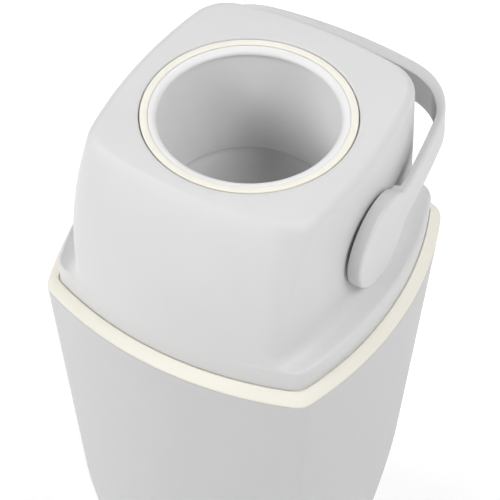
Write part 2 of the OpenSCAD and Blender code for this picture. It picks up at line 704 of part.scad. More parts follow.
module drum_upper() color(shell_grey) at_pivot() difference() {
    drum_half(true);
    hub_pilots(hub_screw_h - hub_plate + 0.5);
    at_corners(drum_screw_at, drum_screw_at) translate([0, 0, -1]) screw_hole(drum_screw_top + 2);
}
module drum_lower() color(shell_grey) at_pivot() difference() {
    mirror([0, 0, 1]) drum_half(false);
    hub_pilots(hub_screw_h - hub_plate + 0.5);
    at_corners(drum_screw_at, drum_screw_at) {
        translate([0, 0, -drum_screw_seat - 1]) screw_hole(drum_screw_seat + 2);
        translate([0, 0, -drum_r]) cylinder(r = screw_head_r + 0.4, h = drum_r - drum_screw_seat, $fn = 32);
    }
}
bore_h = 2 * (rim_rise - lip_t);
module bore_liner() color(shell_grey) at_pivot() difference() {
    cylinder(r = bore_r + liner_t, h = bore_h - 0.04, center = true, $fn = 128);
    cylinder(r = bore_r, h = 2 * drum_r, center = true, $fn = 128);
}
module drum_screws() color(steel) at_pivot() at_corners(drum_screw_at, drum_screw_at)
    translate([0, 0, -drum_screw_seat]) screw(drum_screw_seat + drum_screw_top);

// Hubs: screwed to the drum's flat sides, with a bead that the handle snaps over

module hub_right() color(dark_grey) at_pivot() difference() {
    union() {
        along_x(drum_flat) cylinder(r = hub_r, h = hub_end - drum_flat);
        along_x(bead_x) cylinder(r = bead_r, h = bead_w);
    }
    along_x(drum_flat + hub_plate) cylinder(r = hub_r - hub_wall, h = hub_end);
    translate([drum_flat + hub_plate, -hub_r - 1, -key_w / 2 - key_gap])
        cube([hub_end, 2 * hub_r + 2, key_w + 2 * key_gap]);
    for (sy = [-1, 1], sz = [-1, 1]) translate([drum_flat - 1, sy * hub_screw_at, sz * hub_screw_at])
        rotate([0, 90, 0]) screw_hole(hub_plate + 2);
}
module hub_left() mirror([1, 0, 0]) hub_right();

hub_screw_h = 12;
module hub_screws() color(steel) at_pivot() both_sides() for (sy = [-1, 1], sz = [-1, 1])
    translate([drum_flat + hub_plate, sy * hub_screw_at, sz * hub_screw_at]) rotate([0, -90, 0]) screw(hub_screw_h);

// Handle: a strap swept along two bowed arms, round corners and a bowed crossbar

handle_reach = drum_r + crossbar_out;
arm_c = [boss_x - arm_bow_r, 0];
bar_c = [0, handle_reach - crossbar_bow_r];
corner_c = circle_meet(arm_c, arm_bow_r - handle_corner_r, bar_c, crossbar_bow_r - handle_corner_r);
arm_turn = atan2(corner_c[1], corner_c[0] - arm_c[0]);
bar_turn = atan2(corner_c[1] - bar_c[1], corner_c[0]);

// Upper meeting point of two circles, on the right of the line from a to b
function circle_meet(a, ra, b, rb) =
    let (ab = b - a, d = norm(ab), u = ab / d, s = (d * d + ra * ra - rb * rb) / (2 * d),
        t = sqrt(ra * ra - s * s))
    a + s * u + t * [-u[1], u[0]];

// Stations along the right half, from the boss to the middle of the crossbar.
// Each is [place, outward direction, thickness, width, roundness of the outer face]
arm_n = 9;
turn_n = 9;
bar_n = 6;
function arm_station(f) =
    let (a = arm_turn * f, r = f * arm_turn * arm_bow_r * PI / 180)
    [arm_c + arm_bow_r * [cos(a), sin(a)], [cos(a), sin(a)], arm_t, strap_w + root_flare(r), 0];
function turn_station(f) =
    let (a = arm_turn + (bar_turn - arm_turn) * f, s = f * f * (3 - 2 * f))
    [corner_c + handle_corner_r * [cos(a), sin(a)], [cos(a), sin(a)],
        arm_t + (crossbar_t - arm_t) * s, strap_w, s];
function bar_station(f) =
    let (a = bar_turn + (90 - bar_turn) * f)
    [bar_c + crossbar_bow_r * [cos(a), sin(a)], [cos(a), sin(a)], crossbar_t, strap_w, 1];
// The strap widens where it leaves the boss
root_w = 7.6;
root_len = 13;
function root_flare(r) = root_w * pow(max(0, min(1, (boss_r + 7.3 - r) / root_len)), 2.2);

root_start = 0.17;
half_stations = [
    each [for (i = [0:arm_n - 1]) arm_station(root_start + (1 - root_start) * i / arm_n)],
    each [for (i = [0:turn_n - 1]) turn_station(i / turn_n)],
    each [for (i = [0:bar_n]) bar_station(i / bar_n)]];
function mirrored(s) = [[-s[0][0], s[0][1]], [-s[1][0], s[1][1]], s[2], s[3], s[4]];
stations = [each half_stations,
    each [for (i = [len(half_stations) - 2:-1:0]) mirrored(half_stations[i])]];

// Section of the strap: flat inside, and an outer face that is flat on the arms and domed on the crossbar
section_n = 10;
function section(thickness, width, roundness) =
    let (p = 7 - 3.1 * roundness)
    [for (k = [0:section_n])
        let (a = -90 + 180 * k / section_n, c = max(0, cos(a)), s = sin(a))
        [-thickness + (thickness - edge_t(roundness)) * pow(c, 2 / p) + (k == 0 || k == section_n ? 0 : edge_t(roundness)),
            width / 2 * sign(s) * pow(abs(s), 2 / p)]];
function edge_t(roundness) = 1.2 * (1 - 0.4 * roundness);
function strap_ring(s) =
    let (q = section(s[2], s[3], s[4]))
    [for (k = [section_n:-1:0]) [s[0][0] + s[1][0] * q[k][0], s[0][1] + s[1][1] * q[k][0], q[k][1]]];

module strap() capped_loft([for (s = stations) strap_ring(s)]);

// Hollow in the inner side of an arm, which leaves walls round it
module arm_core(first, last) {
    rim = 3.5;
    capped_loft([for (i = [first:last])
        let (s = half_stations[i], low = s[0] - s[1] * (s[2] + 1), high = s[0] - s[1] * (s[2] - core_depth),
            w = strap_w / 2 - rim)
        [[low[0], low[1], w], [high[0], high[1], w], [high[0], high[1], -w], [low[0], low[1], -w]]]);
}

module handle() color(handle_grey) at_pivot() {
    rotate([handle_tilt, 0, 0]) difference() {
        union() {
            strap();
            both_sides() along_x(boss_face) boss_shape();
        }
        both_sides() {
            along_x(boss_face - 1) cylinder(r = hub_r + 0.1, h = hub_socket + 1);
            along_x(bead_x - 0.1) cylinder(r = bead_r + 0.1, h = bead_w + 0.2);
            arm_core(3, arm_n + 3);
            along_x(boss_face - 30) cylinder(r = boss_r + 2, h = 30);
        }
    }
    both_sides() handle_key();
}
// Bar that fits the slot across the hub, so that the drum turns with the handle
module handle_key() {
    start = drum_flat + hub_plate + 0.5;
    translate([start, -key_half, -key_w / 2])
        cube([boss_face + hub_socket + 0.5 - start, 2 * key_half, key_w]);
}
// Disc with a rounded outer rim and a socket for the hub's end
module boss_shape() {
    rotate_extrude() polygon([[0, hub_socket - 0.01], [hub_r - 1, hub_socket - 0.01], [hub_r - 1, 0], [boss_r, 0],
        [boss_r, boss_t - 2.2], [boss_r - 0.35, boss_t - 1.1], [boss_r - 1.2, boss_t - 0.35],
        [boss_r - 2.6, boss_t - 0.05], [boss_r - 6, boss_t], [0, boss_t]]);
}

// Piston: two bowls back to back, with a steel weight and slide rings

piston_r = bore_r - piston_gap;
piston_end_gap = 0.05;
piston_travel = bore_h - piston_h - 2 * piston_end_gap;
piston_z = piston_end_gap + (piston_h - bore_h) / 2;
piston_skin = 1.6;
ring_groove = 1.6;
ring_z = piston_h / 3;
bowl_n = 16;
module at_piston() translate([0, 0, pivot_z + piston_z]) children();
function bowl_points(r, top, depth) = [for (i = [0:bowl_n])
    let (a = 90 * i / bowl_n) [r * cos(a), top - depth * sin(a)]];
module piston_shell() {
    skirt_in = piston_r - ring_groove - piston_skin;
    under_r = piston_r - 0.8 + bowl_wall;
    under_h = bowl_h + bowl_wall;
    rotate_extrude($fn = 128) polygon([
        [piston_r, 0], [piston_r, ring_z - slide_ring_w / 2], [piston_r - ring_groove, ring_z - slide_ring_w / 2],
        [piston_r - ring_groove, ring_z + slide_ring_w / 2], [piston_r, ring_z + slide_ring_w / 2],
        [piston_r, piston_h / 2],
        each bowl_points(piston_r - 0.8, piston_h / 2, bowl_h),
        each [for (i = [bowl_n:-1:4]) bowl_points(under_r, piston_h / 2, under_h)[i]],
        [skirt_in, piston_h / 2 - under_h * sqrt(1 - pow(skirt_in / under_r, 2))], [skirt_in, 0]]);
}
module piston_upper() color(shell_grey) at_piston() piston_shell();
module piston_lower() color(shell_grey) at_piston() mirror([0, 0, 1]) piston_shell();

module piston_weight() color(steel) at_piston() difference() {
    cylinder(r = piston_r - ring_groove - piston_skin - 0.1, h = weight_h, center = true, $fn = 128);
    cylinder(r = weight_hole_r, h = weight_h + 2, center = true, $fn = 128);
}
module piston_rings() color(cream) at_piston() for (s = [-1, 1]) translate([0, 0, s * ring_z]) difference() {
    cylinder(r = bore_r - ring_gap, h = slide_ring_w - 0.1, center = true, $fn = 128);
    cylinder(r = piston_r - ring_groove + 0.05, h = slide_ring_w + 2, center = true, $fn = 128);
}

bucket();
base_pad();
rim_seal();
bag_ring();
keeper_plate();
hinge_bracket();
bracket_screws();
hinge_pin();
head_cover();
head_base();
head_screws();
opening_seal();
lower_seal();
bearing_left();
bearing_right();
bearing_screws();
hinge_leaf();
leaf_screws();
lid_magnet();
drum_upper();
drum_lower();
bore_liner();
drum_screws();
hub_left();
hub_right();
hub_screws();
handle();
piston_upper();
piston_lower();
piston_weight();
piston_rings();
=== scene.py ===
# Nappy bin: a tapering bucket, a hinged head, and a ball-shaped drum that the U-shaped handle turns.
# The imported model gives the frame. Sizes in the sections are millimetres, meshes are metres.
import math

import bmesh
import bpy
from mathutils import Matrix, Vector


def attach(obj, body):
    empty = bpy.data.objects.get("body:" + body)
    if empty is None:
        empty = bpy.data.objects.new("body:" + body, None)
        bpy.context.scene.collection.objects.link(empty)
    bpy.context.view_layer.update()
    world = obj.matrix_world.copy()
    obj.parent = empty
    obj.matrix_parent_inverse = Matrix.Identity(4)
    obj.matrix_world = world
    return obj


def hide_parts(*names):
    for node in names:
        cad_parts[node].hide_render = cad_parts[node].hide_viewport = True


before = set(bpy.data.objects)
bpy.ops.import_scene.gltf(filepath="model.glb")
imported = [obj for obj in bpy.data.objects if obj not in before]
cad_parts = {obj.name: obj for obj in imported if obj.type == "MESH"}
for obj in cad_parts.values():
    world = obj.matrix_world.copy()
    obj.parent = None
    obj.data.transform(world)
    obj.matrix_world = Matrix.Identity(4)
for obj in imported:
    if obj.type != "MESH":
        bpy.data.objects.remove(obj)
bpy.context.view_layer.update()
bpy.ops.object.select_all(action="DESELECT")

# Camera: a long lens from the front right, well above the bin, as in the photograph.
# The place, aim and roll come from a fit to the rings, bosses and outlines.
azimuth, elevation, roll = (math.radians(d) for d in (29.793, 48.651, 0.65))
backward = Vector((math.sin(azimuth) * math.cos(elevation), -math.cos(azimuth) * math.cos(elevation),
                   math.sin(elevation)))
level = Vector((math.cos(azimuth), math.sin(azimuth), 0))
upward = backward.cross(level)
rightward = math.cos(roll) * level + math.sin(roll) * upward
upward = backward.cross(rightward)
bpy.ops.object.camera_add(location=(0.40364, -0.70176, 1.30704))
camera = bpy.context.object
camera.name = "photo_camera"
camera.matrix_world = Matrix.Translation(camera.location) @ Matrix(
    (rightward, upward, backward)).transposed().to_4x4()
camera.data.lens = 122.13
camera.data.sensor_width = 36
camera.data.clip_end = 20
bpy.context.scene.camera = camera

# Studio: a white floor that runs out of sight and glows a little far away, under a dim grey tent. Round
# softboxes stand all round: the front, left and high right ones give most light, and the others fill in.
world = bpy.data.worlds.new("studio_tent")
bpy.context.scene.world = world
world.use_nodes = True
tent = world.node_tree
aim = tent.nodes.new("ShaderNodeTexCoord")
parts = tent.nodes.new("ShaderNodeSeparateXYZ")
band = tent.nodes.new("ShaderNodeValToRGB")
stops = ((0.0, 0.42), (0.25, 0.26), (0.5, 0.2), (1.0, 0.18))
for _ in stops[2:]:
    band.color_ramp.elements.new(0.5)
for element, (height, light) in zip(band.color_ramp.elements, stops):
    element.position = height
    element.color = (light, light, light, 1)
tent.links.new(aim.outputs["Generated"], parts.inputs[0])
tent.links.new(parts.outputs["Z"], band.inputs[0])
tent.links.new(band.outputs["Color"], tent.nodes["Background"].inputs["Color"])
bpy.context.scene.view_settings.view_transform = "Standard"
bpy.context.scene.view_settings.look = "None"

lamp_target = Vector((0, 0, 0.4))
for name, place, size, watts in (
        ("front_light", (-0.9, -2.1, 1.9), 1.2, 30.5),
        ("left_light", (-2.0, -0.6, 1.7), 1.2, 20.5),
        ("right_light", (2.0, -0.5, 1.5), 1.2, 2.5),
        ("high_right_light", (1.6, -0.1, 2.2), 1.0, 30),
        ("back_light", (0.1, 1.6, 2.2), 1.0, 8.5),
        ("back_right_light", (1.3, 1.1, 2.2), 1.0, 8),
        ("front_left_light", (-1.3, -1.2, 2.2), 1.0, 5.5),
        ("back_left_light", (-1.3, 1.2, 2.2), 1.0, 4.5)):
    bpy.ops.object.light_add(type="AREA", location=place)
    lamp = bpy.context.object
    lamp.name = name
    lamp.data.shape = "DISK"
    lamp.data.size = size
    lamp.data.energy = watts
    lamp.rotation_euler = (lamp_target - Vector(place)).to_track_quat("-Z", "Y").to_euler()

bpy.ops.mesh.primitive_plane_add(size=30)
floor = bpy.context.object
floor.name = "studio_floor"
floor_paint = bpy.data.materials.new("studio_floor_paint")
floor_paint.use_nodes = True
paint = floor_paint.node_tree
floor_shader = paint.nodes["Principled BSDF"]
floor_shader.inputs["Base Color"].default_value = (0.95, 0.95, 0.95, 1)
floor_shader.inputs["Roughness"].default_value = 0.9
floor_shader.inputs["Emission Strength"].default_value = 1
spot = paint.nodes.new("ShaderNodeTexCoord")
reach_out = paint.nodes.new("ShaderNodeVectorMath")
reach_out.operation = "LENGTH"
far = paint.nodes.new("ShaderNodeMapRange")
far.interpolation_type = "SMOOTHSTEP"
for socket, value in (("From Min", 1.0), ("From Max", 5.0), ("To Min", 0.15), ("To Max", 0.8)):
    far.inputs[socket].default_value = value
paint.links.new(spot.outputs["Object"], reach_out.inputs[0])
paint.links.new(reach_out.outputs["Value"], far.inputs["Value"])
paint.links.new(far.outputs["Result"], floor_shader.inputs["Emission Color"])
floor.data.materials.append(floor_paint)


# Bucket: one injection-moulded tub in satin light grey plastic, whose bulged sides meet in narrow
# upright corners and taper to a rounded foot. The hinge bracket's block is moulded on at the back.
class Wire:
    """The output of a shader node, which takes part in sums as a number does."""

    def __init__(self, bench, socket):
        self.bench, self.socket = bench, socket

    def maths(self, operation, *values):
        return self.bench.node("ShaderNodeMath", {"operation": operation}, *values)

    def __add__(self, other):
        return self.maths("ADD", self, other)

    def __sub__(self, other):
        return self.maths("SUBTRACT", self, other)

    def __rsub__(self, other):
        return self.maths("SUBTRACT", other, self)

    def __mul__(self, other):
        return self.maths("MULTIPLY", self, other)

    __radd__ = __add__
    __rmul__ = __mul__

    def clamped(self):
        return self.maths("MINIMUM", self.maths("MAXIMUM", self, 0.0), 1.0)


class Bench:
    """A material on the workbench: makes its nodes and links them."""

    def __init__(self, name):
        self.material = bpy.data.materials.new(name)
        self.material.use_nodes = True
        self.tree = self.material.node_tree
        self.shader = self.tree.nodes["Principled BSDF"]
        self.place = self.node("ShaderNodeTexCoord", {}, out="Object")

    def node(self, kind, settings, *values, out=0, **named):
        made = self.tree.nodes.new(kind)
        for key, value in settings.items():
            setattr(made, key, value)
        sockets = [(made.inputs[i], v) for i, v in enumerate(values)]
        sockets += [(made.inputs[key.replace("_", " ")], v) for key, v in named.items()]
        for socket, value in sockets:
            self.feed(socket, value)
        return Wire(self, made.outputs[out])

    def feed(self, socket, value):
        if isinstance(value, Wire):
            self.tree.links.new(value.socket, socket)
        else:
            socket.default_value = value

    def noise(self, scale, detail=2.0, roughness=0.5):
        return self.node("ShaderNodeTexNoise", {}, Vector=self.place, Scale=scale, Detail=detail,
                         Roughness=roughness)

    def blend(self, share, first, second):
        """Colour between two colours, by a share from 0 to 1."""
        made = self.tree.nodes.new("ShaderNodeMix")
        made.data_type = "RGBA"
        factor_in, first_in, second_in, colour_out = 0, 6, 7, 2
        self.feed(made.inputs[factor_in], share)
        self.feed(made.inputs[first_in], first)
        self.feed(made.inputs[second_in], second)
        return Wire(self, made.outputs[colour_out])

    def bump(self, height, depth, strength):
        return self.node("ShaderNodeBump", {}, Height=height, Distance=depth, Strength=strength)

    def finish(self, colour, roughness, normal, **fixed):
        for socket, value in (("Base Color", colour), ("Roughness", roughness), ("Normal", normal)):
            self.feed(self.shader.inputs[socket], value)
        for key, value in fixed.items():
            self.shader.inputs[key.replace("_", " ")].default_value = value
        return self.material


def shade(value, warmth=0.0):
    """Linear colour of a grey given as it looks on screen, 0 to 255, with a little yellow."""
    def linear(v):
        v = v / 255
        return v / 12.92 if v <= 0.04045 else ((v + 0.055) / 1.055) ** 2.4
    return (linear(value), linear(value - warmth * 0.25), linear(value - warmth), 1)


def moulded_plastic(name, grey, gloss=0.5, grain=0.00003):
    """Satin plastic with the fine sparked texture of its mould and faint flow clouds."""
    bench = Bench(name)
    clouds = bench.noise(14, 3.0)
    flow = bench.noise(55, 2.0)
    sparks = bench.noise(1500, 2.0, 0.6)
    tone = (clouds * 0.6 + flow * 0.4).clamped()
    colour = bench.blend(tone, shade(grey - 3), shade(grey + 3))
    roughness = gloss + 0.10 * (flow - 0.5) + 0.08 * (sparks - 0.5)
    return bench.finish(colour, roughness, bench.bump(sparks, grain, 0.6), Specular_IOR_Level=0.45)


def angles(start, stop, step):
    """Even steps in whole degrees, as radians."""
    return [math.radians(d) for d in range(start, stop, step)]


def rounded_square(hx, hy, side_r, corner_r, per_side=16, per_corner=10):
    """Outline of four bulged sides of radius side_r, joined by tangent corner arcs of radius corner_r."""
    h = max(hx, hy)
    back = side_r - h
    c = (math.sqrt(2 * (side_r - corner_r) ** 2 - back * back) - back) / 2
    turn = math.atan2(c, c + back)
    points = []
    for quarter in range(4):
        for k in range(per_side + per_corner):
            if k < per_side:
                a = -turn + 2 * turn * k / per_side
                x, y = side_r * math.cos(a) - back, side_r * math.sin(a)
            else:
                a = turn + (math.pi / 2 - 2 * turn) * (k - per_side) / per_corner
                x, y = c + corner_r * math.cos(a), c + corner_r * math.sin(a)
            for _ in range(quarter):
                x, y = -y, x
            points.append((x * hx / h, y * hy / h))
    return points


def loft(name, rings, closed=False, caps=True):
    """Skin drawn ring by ring: each ring is extruded from the last and laid on its points."""
    bpy.ops.mesh.primitive_circle_add(vertices=len(rings[0]), radius=0.1)
    piece = bpy.context.object
    piece.name = piece.data.name = name
    bpy.ops.object.mode_set(mode="EDIT")
    bpy.ops.mesh.select_mode(type="EDGE")
    loop = list(range(len(rings[0])))
    for number, ring in enumerate(rings + rings[:1] if closed else rings):
        if number:
            bpy.ops.mesh.extrude_edges_move()
        mesh = bmesh.from_edit_mesh(piece.data)
        mesh.verts.ensure_lookup_table()
        if number:
            follow = {}
            for v in (v for v in mesh.verts if v.select):
                old = next(e.other_vert(v) for e in v.link_edges if not e.other_vert(v).select)
                follow[old.index] = v.index
            loop = [follow[i] for i in loop]
        for i, point in zip(loop, ring):
            mesh.verts[i].co = Vector(point) / 1000
        bmesh.update_edit_mesh(piece.data)
    if caps and not closed:
        bpy.ops.mesh.edge_face_add()
        bpy.ops.mesh.select_all(action="DESELECT")
        mesh = bmesh.from_edit_mesh(piece.data)
        for e in mesh.edges:
            e.select_set(len(e.link_faces) == 1)
        bmesh.update_edit_mesh(piece.data)
        bpy.ops.mesh.edge_face_add()
    bpy.ops.mesh.select_all(action="SELECT")
    bpy.ops.mesh.remove_doubles(threshold=1e-6)
    bpy.ops.mesh.normals_make_consistent(inside=False)
    bpy.ops.object.mode_set(mode="OBJECT")
    return piece


def settle(piece, angle=38):
    """Ends a piece at the origin with smooth shading, and leaves nothing selected."""
    bpy.ops.object.select_all(action="DESELECT")
    piece.select_set(True)
    bpy.context.view_layer.objects.active = piece
    bpy.ops.object.transform_apply(location=True, rotation=True, scale=True)
    bpy.ops.object.shade_smooth_by_angle(angle=math.radians(angle))
    bpy.ops.object.select_all(action="DESELECT")


def carve(piece, tool, operation="DIFFERENCE"):
    """Cuts the tool out of the piece, or joins it on, and throws the tool away."""
    bpy.ops.object.select_all(action="DESELECT")
    piece.select_set(True)
    bpy.context.view_layer.objects.active = piece
    cut = piece.modifiers.new("carve", "BOOLEAN")
    cut.operation = operation
    cut.solver = "EXACT"
    cut.object = tool
    bpy.ops.object.modifier_apply(modifier=cut.name)
    bpy.data.objects.remove(tool)


def block(corner, opposite, edge=0.0):
    """Box between two opposite corners, with bevelled edges."""
    low, high = zip(*(sorted(pair) for pair in zip(corner, opposite)))
    bpy.ops.mesh.primitive_cube_add(size=1)
    made = bpy.context.object
    made.scale = [(b - a) / 1000 for a, b in zip(low, high)]
    made.location = [(a + b) / 2000 for a, b in zip(low, high)]
    bpy.ops.object.transform_apply(location=True, rotation=True, scale=True)
    if edge:
        bpy.ops.object.mode_set(mode="EDIT")
        bpy.ops.mesh.select_all(action="SELECT")
        bpy.ops.mesh.bevel(offset=edge / 1000, segments=3, affect="EDGES")
        bpy.ops.object.mode_set(mode="OBJECT")
    return made


rim_z, rim_half, rim_side_r, rim_corner_r, least_corner_r = 388, 125.3, 270, 16, 6
taper, foot_bend_z, foot_bend_in, foot_bend_power = 0.0505, 157, 13.3, 1.4


def square_ring(half, side_r, corner_r, inset, z):
    corner_r = max(corner_r - inset, least_corner_r)
    outline = rounded_square(half - inset, half - inset, side_r - inset, corner_r)
    return [(x, y, z) for x, y in outline]


def bucket_ring(z, inset):
    bend = foot_bend_in * (max(0, foot_bend_z - z) / foot_bend_z) ** foot_bend_power
    half = rim_half - taper * (rim_z - z) - bend
    share = half / rim_half
    return square_ring(half, rim_side_r * share, rim_corner_r * share, inset, z)


wall, foot_z, floor_z, foot_r, pad_half, pad_gap = 3, 1.2, 5.2, 7, 80.46, 0.3
pad_side_r = rim_side_r * pad_half / rim_half
recess = rounded_square(pad_half + pad_gap, pad_half + pad_gap, pad_side_r, rim_corner_r)
rings = [[(x * scale, y * scale, foot_z + up) for x, y in recess]
         for up, scale in ((1.8, 1), (0.4, 1), (0, 1.004))]
rings += [bucket_ring(foot_z + foot_r * (1 - math.cos(a)), foot_r * (1 - math.sin(a)))
          for a in angles(0, 91, 10)]
rings += [bucket_ring(z, 0) for z in [14, 22, 32] + list(range(44, 372, 12)) + [378, 385, rim_z - 1]]
rings += [bucket_ring(rim_z - 0.3, 0.3), bucket_ring(rim_z, 1), bucket_ring(rim_z, wall - 0.6),
          bucket_ring(rim_z - 0.6, wall)]
rings += [bucket_ring(z, wall) for z in [384, 370] + list(range(345, 30, -25)) + [16]]
rings += [bucket_ring(floor_z + foot_r * (1 - math.cos(a)), wall + foot_r * (1 - math.sin(a)))
          for a in angles(90, -1, -15)]
bucket = loft("bucket_tub", rings)
bracket_seat = block((-28, 119.2, 352.5), (28, 126.2, 380.5), 0.8)
carve(bucket, bracket_seat, "UNION")
settle(bucket)
# The bucket's grey is set darker than the head's as painted shade: the same plastic, dimmed for its less
# lit sides.
bucket.data.materials.append(moulded_plastic("bucket_plastic_painted_shade", 185))
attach(bucket, "bin")
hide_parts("bucket")


# Rim: a soft cream frame clipped over the bucket's edge. Its sloped belt shows all round, a groove makes
# the dark seam under the head, a ledge carries the bag ring, and a tongue presses on the bucket's wall.
def soft_plastic(name, grey, warmth):
    """Matt rubbery plastic: a dry skin with fine pores and slight clouding."""
    bench = Bench(name)
    clouds = bench.noise(22, 3.0)
    pores = bench.noise(2600, 2.0, 0.7)
    colour = bench.blend(clouds.clamped(), shade(grey - 2, warmth + 1), shade(grey + 2, warmth - 1))
    roughness = 0.62 + 0.14 * (pores - 0.5)
    return bench.finish(colour, roughness, bench.bump(pores, 0.00004, 0.6), Specular_IOR_Level=0.35)


def rim_loft(name, profile):
    """Closed frame that follows the rim, from a profile of distances in from its edge and heights."""
    return loft(name, [square_ring(rim_half, rim_side_r, rim_corner_r, inset, rim_z + up)
                       for inset, up in profile], closed=True)


cream_plastic = soft_plastic("cream_soft_plastic", 219, 13)
belt_h, shelf_h, shelf_in, tongue_in, tongue_h, slot_in = 7.7, 3, 13.2, 17.5, 6, 3.6
belt = [(0.75, 0), (0.35, 0.25), (0.2, 0.75), (0.35, 1.3), (0.8, 1.95), (1.5, 2.65), (2.6, 3.6),
        (4.2, 4.9), (5.8, 6.05), (7.2, 6.9), (7.9, 7.25), (8.25, 7.3)]
groove = [(8.4, 7.1), (8.45, 6.4), (9.9, 6.4), (9.95, belt_h - 0.1)]
shelf = [(10.1, belt_h), (shelf_in - 0.4, belt_h), (shelf_in, belt_h - 0.4), (shelf_in, shelf_h + 0.1),
         (shelf_in + 0.1, shelf_h), (tongue_in - 0.4, shelf_h), (tongue_in, shelf_h - 0.4)]
tongue = [(tongue_in, 0.5 - tongue_h), (tongue_in - 0.5, -tongue_h), (slot_in + 0.5, -tongue_h),
          (slot_in, 0.5 - tongue_h), (slot_in, -0.1), (slot_in - 0.1, 0)]
rim = rim_loft("soft_rim", belt + groove + shelf + tongue)
settle(rim, 50)
rim.data.materials.append(cream_plastic)
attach(rim, "bin")
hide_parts("rim_seal")

# Bag ring and keeper: a thin collar that holds the neck of the bag hangs in the rim, and a zinc-plated
# plate lies on its front edge for the head's magnet.
collar_top, collar_foot = 5.4, -27
collar = [(shelf_in + 0.3, shelf_h), (shelf_in + 0.3, collar_top - 0.3), (shelf_in + 0.6, collar_top),
          (19.6, collar_top), (20.2, collar_top - 0.6), (21.65, collar_foot + 0.3), (21.4, collar_foot),
          (19.6, collar_foot), (19.3, collar_foot + 0.3), (17.8, shelf_h - 0.1), (17.7, shelf_h)]
ring = rim_loft("bag_collar", collar)
keeper_seat = block((-14, -106.1, 391.05), (14, -91.1, 393.38), 0.5)
carve(ring, keeper_seat, "UNION")
settle(ring)
ring.data.materials.append(moulded_plastic("collar_plastic", 196))
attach(ring, "bin")
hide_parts("bag_ring")


def plated_steel(name, grey, gloss, warmth=0.0, scratch=900):
    """Zinc or nickel plate: cloudy spangle, with fine scratches that change the gloss."""
    bench = Bench(name)
    spangle = bench.noise(160, 4.0, 0.65)
    scratches = bench.noise(scratch, 6.0, 0.7)
    colour = bench.blend(spangle.clamped(), shade(grey - 14, warmth), shade(grey + 10, warmth))
    roughness = (gloss + 0.25 * (spangle - 0.5) + 0.15 * (scratches - 0.5)).clamped()
    return bench.finish(colour, roughness, bench.bump(scratches, 0.00003, 0.5), Metallic=1.0)


def dress(node, material, edge):
    """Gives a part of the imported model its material, with its sharp edges softened."""
    part = bpy.data.objects[node]
    part.data.materials.clear()
    part.data.materials.append(material)
    weld = part.modifiers.new("weld", "WELD")
    weld.merge_threshold = 0.00001
    soften = part.modifiers.new("soften", "BEVEL")
    soften.width = edge / 1000
    soften.segments = 2
    soften.limit_method = "ANGLE"
    soften.angle_limit = math.radians(40)
    soften.use_clamp_overlap = True


zinc = plated_steel("zinc_plate", 190, 0.38, 4)
dress("keeper_plate", zinc, 0.2)
dress("bracket_screws", zinc, 0.15)
dress("hinge_pin", plated_steel("turned_steel_pin", 200, 0.25), 0.3)

# Pad: a sheet of dark foam rubber, cut with slightly rounded edges and glued into the recess under the
# bucket, so that the bin doesn't slide.
bench = Bench("pad_rubber")
cells = bench.noise(1100, 3.0, 0.6)
scuffs = bench.noise(30, 4.0)
rubber = bench.finish(bench.blend(scuffs.clamped(), shade(78), shade(96)), 0.85 + 0.1 * (cells - 0.5),
                      bench.bump(cells, 0.00012, 0.8), Specular_IOR_Level=0.3)
sheet = rounded_square(pad_half, pad_half, pad_side_r, rim_corner_r)
sheet_edge = ((0.9945, 0), (0.998, 0.15), (1, 0.5), (1, 2.6), (0.998, 2.9), (0.996, 3))
pad = loft("foot_pad", [[(x * scale, y * scale, z) for x, y in sheet] for scale, z in sheet_edge])
settle(pad, 50)
pad.data.materials.append(rubber)
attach(pad, "bin")
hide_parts("base_pad")

# Head: one thin-walled moulding over the drum. Its front bows out from the round-edged top to an upright
# skirt, and its side walls, which the bearings go through, stand almost straight above a ledge.
pivot_z, top_z, skirt_z, skirt_half = 456.75, 525.0, 396.0, 116.4
cheek_half, top_half, edge_z, edge_r, ledge_z = 95.2, 92.4, 517.0, 8.0, 414
front_top, front_bow_h, front_bow_power, back_top = 84.6, 100, 2.5, 101
skirt_side_r, top_side_r, skirt_corner_r, corner_gain = 261.1, 340, 15, 14
full_z, full_h, full_share, front_cut, back_cut = 490, 65, 0.8, 0.2, 0.7
head_wall, opening_r, opening_h, inner_edge_r = 3, 73.5, 3.5, 5


def rise(z):
    """Share of the way from the ledge to the edge of the top."""
    return max(0, min(1, (z - ledge_z) / (edge_z - ledge_z)))


def side_x(z):
    """Half width of the side walls, which lean in a little."""
    return cheek_half - (cheek_half - top_half) / (edge_z - pivot_z) * (z - pivot_z)


def oblong(hx, hy, side_r, corner_r, per_side, per_corner):
    """Outline with the points of a rounded square, whose ends keep their bulge however narrow it is."""
    apart = math.hypot(hx - side_r, side_r - hy)
    off = math.sqrt((side_r - corner_r) ** 2 - apart ** 2 / 4)
    cx = (hx - side_r) / 2 + off * (side_r - hy) / apart
    cy = (hy - side_r) / 2 + off * (side_r - hx) / apart
    low, high = math.atan2(cy, cx - hx + side_r), math.atan2(cy - hy + side_r, cx)
    arcs = []
    for sx, sy in ((1, 1), (-1, 1), (-1, -1), (1, -1)):
        corner = [(sx * cx + corner_r * sx * math.cos(a), sy * cy + corner_r * sy * math.sin(a))
                  for a in (low + (high - low) * k / per_corner for k in range(per_corner + 1))]
        arcs.append(corner if sx * sy > 0 else corner[::-1])
    sides = []
    for k in range(per_side):
        a, b = -low + 2 * low * k / per_side, high + (math.pi - 2 * high) * k / per_side
        sides.append(((hx - side_r + side_r * math.cos(a), side_r * math.sin(a)),
                      (side_r * math.cos(b), hy - side_r + side_r * math.sin(b))))
    points = []
    for number, corner in enumerate(arcs):
        sign = -1 if number > 1 else 1
        points += [(sign * side[number % 2][0], sign * side[number % 2][1]) for side in sides]
        points += corner[:-1]
    return points


